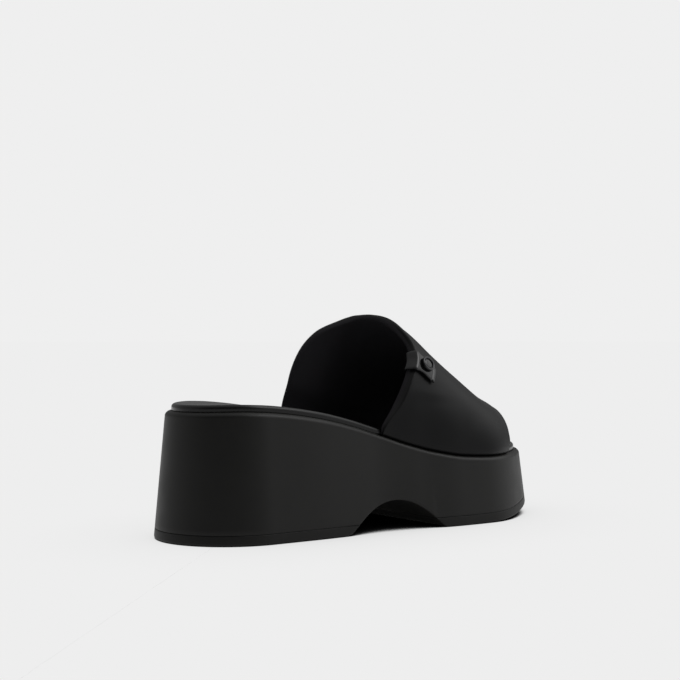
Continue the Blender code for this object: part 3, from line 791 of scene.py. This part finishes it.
deepest = FOOT_STEP * (len(FOOT) - 1)
below = [-deepest * (1.0 - i / MARGIN_STEPS) for i in range(MARGIN_STEPS)]
stations = below + [i / ARCH_STEPS for i in range(ARCH_STEPS + 1)] + [1.0 - s for s in reversed(below)]
shape = bmesh.new()
loops = [[shape.verts.new(point) for point in band_loop(station)] for station in stations]
bridge(shape, loops)
for loop in (loops[0], loops[-1]):
    fill_loop(shape, loop, RUN_STEPS + 1)
band = new_piece("padded_band", shape, ("upper_band",), crease=70.0)

# %% [markdown]
# ### Leather and lining
# The shell is a soft leather with a low, broad sheen. The lining is brushed cloth, which has
# almost none, and turns over the rim as far as the outer corner. A second piece could carry
# it, but one mesh with two finishes has no gap to hide: the faces are told apart by their
# place in each loop.

# %% Two finishes on the band
LINING_TURN = 0.25

soft_leather = finish_of("soft leather", (0.0026, 0.0027, 0.0029), 0.40, spread=0.05, grain=0.55,
                         depth=0.012, Specular_IOR_Level=0.13)
dress(band, soft_leather)
lining = finish_of("brushed lining", (0.0165, 0.0158, 0.0175), 0.85, spread=0.05, grain=0.30,
                   depth=0.030, Specular_IOR_Level=0.05)
band.data.materials.append(lining)
round_the_wall = len(loops[0])
rim = rim_profile(1.0, *CRISP_RIM)[1:-1]
lined_rim = sum(1 for (out, _), _ in rim if out < LINING_TURN)
first = RUN_STEPS + 1 + len(rim) - lined_rim
last = first + RUN_STEPS + 2 * lined_rim
for number in range((len(loops) - 1) * round_the_wall):
    if first <= number % round_the_wall < last:
        band.data.polygons[number].material_index = 1
print("lined faces in each loop:", last - first, "of", round_the_wall)

# %% [markdown]
# ## The tab
# A narrow strip of patent leather is folded over the back rim and carries the badge. It could
# be a flat strip that is bent and shrunk onto the band, but a stiff fold keeps clean creases.
# So it is swept along the band's own face, round the rim and down inside, and lies on the
# padding wherever that goes. Its edges are rounded, its middle is slightly crowned, its low
# edge stands off the band a little, and a pressed line runs across its tip.

# %% Tab
TAB_THICKNESS = 1.3
TAB_INSIDE = 9.0
TAB_ROUND = 0.35
TAB_LIFT = 0.7
TAB_LOW = [(0.000, 0.166), (0.025, 0.169), (0.050, 0.170), (0.100, 0.163), (0.155, 0.156)]
TAB_HIGH = [(0.000, 0.249), (0.050, 0.243), (0.100, 0.238), (0.155, 0.224)]
TAB_LENGTH = 0.155
TAB_CROWN = 0.12
TAB_UNDERCUT = 0.21
TAB_RIM = (0.20, 0.17, 0.30)
GROOVE_DEPTH, GROOVE_AT, GROOVE_WIDTH = 0.45, 1.9, 0.55
TAB_ACROSS = 16
TAB_OUTER_STEPS = 44
TAB_INNER_STEPS = 8
TAB_BACK = run_of(RIM_DEPTH * BAND_WALL)
TAB_EDGE = run_of(0.5 * BAND_WALL)


def tab_path():
    """Lists the tab's way over the rim: outside, round the edge, inside."""
    tip = TAB_EDGE + TAB_LENGTH
    inside = run_of(TAB_INSIDE)
    path = [("outer", tip + (TAB_BACK - tip) * i / TAB_OUTER_STEPS) for i in range(TAB_OUTER_STEPS)]
    path += [("rim", i) for i in range(len(rim_profile(1.0, *TAB_RIM)))]
    path += [("inner", TAB_BACK + inside * (i + 1) / TAB_INNER_STEPS) for i in range(TAB_INNER_STEPS)]
    return path


def tab_point(spot, part):
    """Gives a point under the tab and its outward way, a part across its width."""
    face, at = spot
    run = TAB_BACK if face == "rim" else at
    reach = max(0.0, run - TAB_EDGE) if face == "outer" else 0.0
    low = read(TAB_LOW, reach)
    station = low + (read(TAB_HIGH, reach) - low) * part
    point, ahead, away = wall_frame(run, station)
    push = soft_form(run, station)
    if face == "outer":
        return point + away * push, away
    wall = band_wall(station)
    if face == "inner":
        return point - away * wall, -away
    (out, on), (way_out, way_on) = rim_profile(wall, *TAB_RIM)[at]
    out += push * max(0.0, 2.0 * out / wall) ** 2
    middle = point - away * 0.5 * wall
    return middle + away * out - ahead * on, away * way_out - ahead * way_on


def tab_lift(part):
    """Gives how far the tab stands off the band: most at its low edge."""
    return CLEARANCE + TAB_LIFT * (1.0 - part) ** 3


def tab_loop(spot):
    """Lists the tab's cross section: flat below, crowned above, round at both edges."""
    face, at = spot
    under, over = [], []
    for i in range(TAB_ACROSS + 1):
        part = i / TAB_ACROSS
        point, way = tab_point(spot, part)
        at_edge = i in (0, TAB_ACROSS)
        top = TAB_THICKNESS + TAB_CROWN * math.sin(math.pi * part) - (TAB_ROUND if at_edge else 0.0)
        if face == "outer":
            from_tip = (TAB_EDGE + TAB_LENGTH - at) * BAND_RUN * FOOTBED_LENGTH
            top -= GROOVE_DEPTH * bump_at(from_tip - GROOVE_AT, GROOVE_WIDTH)
        lift = CLEARANCE if face == "inner" else tab_lift(part)
        under.append(point + way * (lift + (TAB_UNDERCUT if at_edge else 0.0)))
        over.append(point + way * (lift + top))
    return under + over[::-1]


shape = bmesh.new()
loops = [[shape.verts.new(point) for point in tab_loop(spot)] for spot in tab_path()]
bridge(shape, loops)
for loop in (loops[0], loops[-1]):
    for i in range(TAB_ACROSS):
        shape.faces.new((loop[i], loop[i + 1], loop[-2 - i], loop[-1 - i]))
tab = new_piece("patent_tab", shape, ("badge_tab",))
patent = finish_of("patent leather", (0.0050, 0.0050, 0.0054), 0.13, spread=0.03, grain=1.2,
                   depth=0.006, Specular_IOR_Level=0.27)
dress(tab, patent)

# %% [markdown]
# ## The badge
# A small round badge closes the tab: a polished dark ring round a low, plain enamel dome,
# with a narrow gap between them. It could be a ring and a dome, but both are turned about one
# line, so one profile does for the whole. Metal and enamel are told apart by how far a face
# lies from the middle.

# %% Badge
BADGE_DIAMETER = 9.3
BADGE_HEIGHT = 1.7
BADGE_RIM = 1.4
BADGE_REACH = 0.080
BADGE_ACROSS = 0.62
BADGE_STEPS = 72
# Reach and height of the badge's foot, and of the gap inside its ring, as shares
BADGE_FOOT = ((0.94, 0.00), (1.00, 0.15))
BADGE_GAP = ((1.00, 0.50), (0.93, 0.42), (0.88, 0.58))
RING_SIDE = 0.72
RING_EDGE = 0.98
RING_TURNS = 10
DOME_REACH, DOME_FOOT, DOME_RISE = 0.84, 0.60, 0.20
DOME_TURNS = 9

spot, way = tab_point(("outer", TAB_EDGE + BADGE_REACH), BADGE_ACROSS)
radius = 0.5 * BADGE_DIAMETER
well = radius - BADGE_RIM
profile = [(reach * radius, up * BADGE_HEIGHT) for reach, up in BADGE_FOOT]
for i in range(RING_TURNS + 1):
    turn = math.pi * i / RING_TURNS
    profile.append((radius - 0.5 * BADGE_RIM * (1.0 - math.cos(turn)),
                    BADGE_HEIGHT * (RING_SIDE + (1.0 - RING_SIDE) * math.sin(turn))))
profile += [(reach * well, up * BADGE_HEIGHT) for reach, up in BADGE_GAP]
for i in range(DOME_TURNS):
    turn = 0.5 * math.pi * i / DOME_TURNS
    profile.append((DOME_REACH * well * math.cos(turn),
                    BADGE_HEIGHT * (DOME_FOOT + DOME_RISE * math.sin(turn))))
shape = bmesh.new()
loops = []
for reach, up in profile:
    turns = [2.0 * math.pi * i / BADGE_STEPS for i in range(BADGE_STEPS)]
    loops.append([shape.verts.new((reach * math.cos(t), reach * math.sin(t), up)) for t in turns])
bridge(shape, loops)
shape.faces.new(loops[0][::-1])
shape.faces.new(loops[-1])
under = spot + way * (tab_lift(BADGE_ACROSS) + TAB_THICKNESS + CLEARANCE)
stance = way.to_track_quat("Z", "Y").to_matrix().to_4x4()
bmesh.ops.transform(shape, matrix=Matrix.Translation(under) @ stance, verts=shape.verts)
badge = new_piece("round_badge", shape, ("badge",))
enamel = finish_of("dark enamel", (0.0050, 0.0050, 0.0055), 0.14, spread=0.03, grain=1.5,
                   depth=0.004, Specular_IOR_Level=0.35)
dark_metal = finish_of("dark metal", (0.0360, 0.0360, 0.0380), 0.22, spread=0.05, grain=0.8,
                       depth=0.004, Metallic=1.0)
dress(badge, enamel)
badge.data.materials.append(dark_metal)
for face in badge.data.polygons:
    reach = (face.center / MM - under).length
    face.material_index = 1 if well < reach < RING_EDGE * radius else 0

# %% [markdown]
# ## The floor
# The photograph has a plain pale ground with no horizon, and only a soft shadow at the foot
# of the shoe. A lamp on grey paper could give that, but the paper and what lies behind it
# must then be matched at every angle. Here the floor glows with one even tone, and a shadow
# is painted into that glow: it darkens where the shoe hides it from the sky.

# %% Glowing paper with a painted shadow
PALE = 0.863
SHADOW_REACH = 0.09
SHADOW_SAMPLES = 24
FLOOR_REACH = 60.0
# The painted shadow: how pale the paper is, from fully hidden to open: share of the sky seen, share of the
# tone
SHADOW = ((0.22, 0.0), (0.34, 0.04), (0.46, 0.86), (0.70, 0.945), (1.0, 1.0))

shape = bmesh.new()
signs = ((-1, -1), (1, -1), (1, 1), (-1, 1))
shape.faces.new([shape.verts.new((FLOOR_REACH * x, FLOOR_REACH * y, 0.0)) for x, y in signs])
floor_mesh = bpy.data.meshes.new("floor")
shape.to_mesh(floor_mesh)
shape.free()
floor = bpy.data.objects.new("floor", floor_mesh)
bpy.context.scene.collection.objects.link(floor)
paper = bpy.data.materials.new("glowing paper with painted shadow")
paper.use_nodes = True
nodes, links = paper.node_tree.nodes, paper.node_tree.links
nodes.remove(nodes["Principled BSDF"])
# The paper's glow is darkened by how much sky it sees: a painted shadow beside and under the shoe, not one
# cast by a lamp.
hidden = nodes.new("ShaderNodeAmbientOcclusion")
hidden.samples = SHADOW_SAMPLES
hidden.inputs["Distance"].default_value = SHADOW_REACH
shadow = nodes.new("ShaderNodeValToRGB")
shadow.color_ramp.interpolation = "B_SPLINE"
for at, tone in SHADOW[1:-1]:
    shadow.color_ramp.elements.new(at)
for stop, (at, tone) in zip(shadow.color_ramp.elements, SHADOW):
    stop.position = at
    stop.color = (tone * PALE, tone * PALE, tone * PALE, 1.0)
glow = nodes.new("ShaderNodeEmission")
links.new(hidden.outputs["AO"], shadow.inputs["Fac"])
links.new(shadow.outputs["Color"], glow.inputs["Color"])
links.new(glow.outputs["Emission"], nodes["Material Output"].inputs["Surface"])
floor_mesh.materials.append(paper)
print("glowing paper with painted shadow, in metres:", [2.0 * FLOOR_REACH, 2.0 * FLOOR_REACH])

# %% [markdown]
# ## The light
# A black shoe is lit by what it mirrors. Lamps would leave small hard spots on it, so the
# whole sky is drawn instead, as a few soft parts, each fading with the angle from its middle:
# a dark side behind the camera keeps the front of the heel deep, a soft box ahead of it gives
# the band its sheen, a small bright one picks out the tab's creases, and a weak light from
# above and one from behind round the edges off. The camera itself sees a plain pale ground.

# %% Sky
# Each part: where its middle lies, its strength, and its tones by degrees from that middle
SKY_PARTS = (
    ((-0.620, -0.780, 0.120), 1.0, ((90.0, 0.25), (84.0, 0.37), (62.0, 0.25), (30.0, 0.059), (8.0, 0.022))),
    ((0.690, -0.420, 0.605), 1.42, ((50.0, 0.0), (38.0, 0.25), (18.0, 1.0))),
    ((0.4465, -0.4624, 0.766), 4.0, ((17.0, 0.0), (10.0, 0.6), (3.0, 1.0))),
    ((0.0, 0.0, 1.0), 0.5, ((56.0, 0.0), (32.0, 0.6), (0.0, 1.0))),
    ((-0.750, 0.660, 0.100), 0.22, ((62.0, 0.0), (40.0, 0.5), (15.0, 1.0))),
)

sky = bpy.data.worlds.new("studio")
bpy.context.scene.world = sky
sky.use_nodes = True
nodes, links = sky.node_tree.nodes, sky.node_tree.links
way_seen = nodes.new("ShaderNodeTexCoord")


def sky_part(toward, strength, stops):
    """Adds a part of the sky that changes with the angle from one direction."""
    facing = nodes.new("ShaderNodeVectorMath")
    facing.operation = "DOT_PRODUCT"
    facing.inputs[1].default_value = Vector(toward).normalized()
    links.new(way_seen.outputs["Generated"], facing.inputs[0])
    shade = nodes.new("ShaderNodeValToRGB")
    ends = shade.color_ramp.elements
    for at, _ in stops[1:-1]:
        ends.new(math.cos(math.radians(at)))
    for end, (at, tone) in zip(ends, stops):
        end.position = math.cos(math.radians(at))
        end.color = (tone, tone, tone, 1.0)
    links.new(facing.outputs["Value"], shade.inputs["Fac"])
    part = nodes.new("ShaderNodeBackground")
    part.inputs["Strength"].default_value = strength
    links.new(shade.outputs["Color"], part.inputs["Color"])
    return part


lit, *others = [sky_part(*part) for part in SKY_PARTS]
for part in others:
    both = nodes.new("ShaderNodeAddShader")
    links.new(lit.outputs[0], both.inputs[0])
    links.new(part.outputs[0], both.inputs[1])
    lit = both
plain = nodes.new("ShaderNodeBackground")
plain.inputs["Color"].default_value = (PALE, PALE, PALE, 1.0)
kind = nodes.new("ShaderNodeLightPath")
either = nodes.new("ShaderNodeMixShader")
links.new(kind.outputs["Is Camera Ray"], either.inputs["Fac"])
links.new(lit.outputs[0], either.inputs[1])
links.new(plain.outputs["Background"], either.inputs[2])
links.new(either.outputs["Shader"], nodes["World Output"].inputs["Surface"])

bpy.context.scene.view_settings.view_transform = "Standard"
print("parts of the sky:", len(SKY_PARTS))
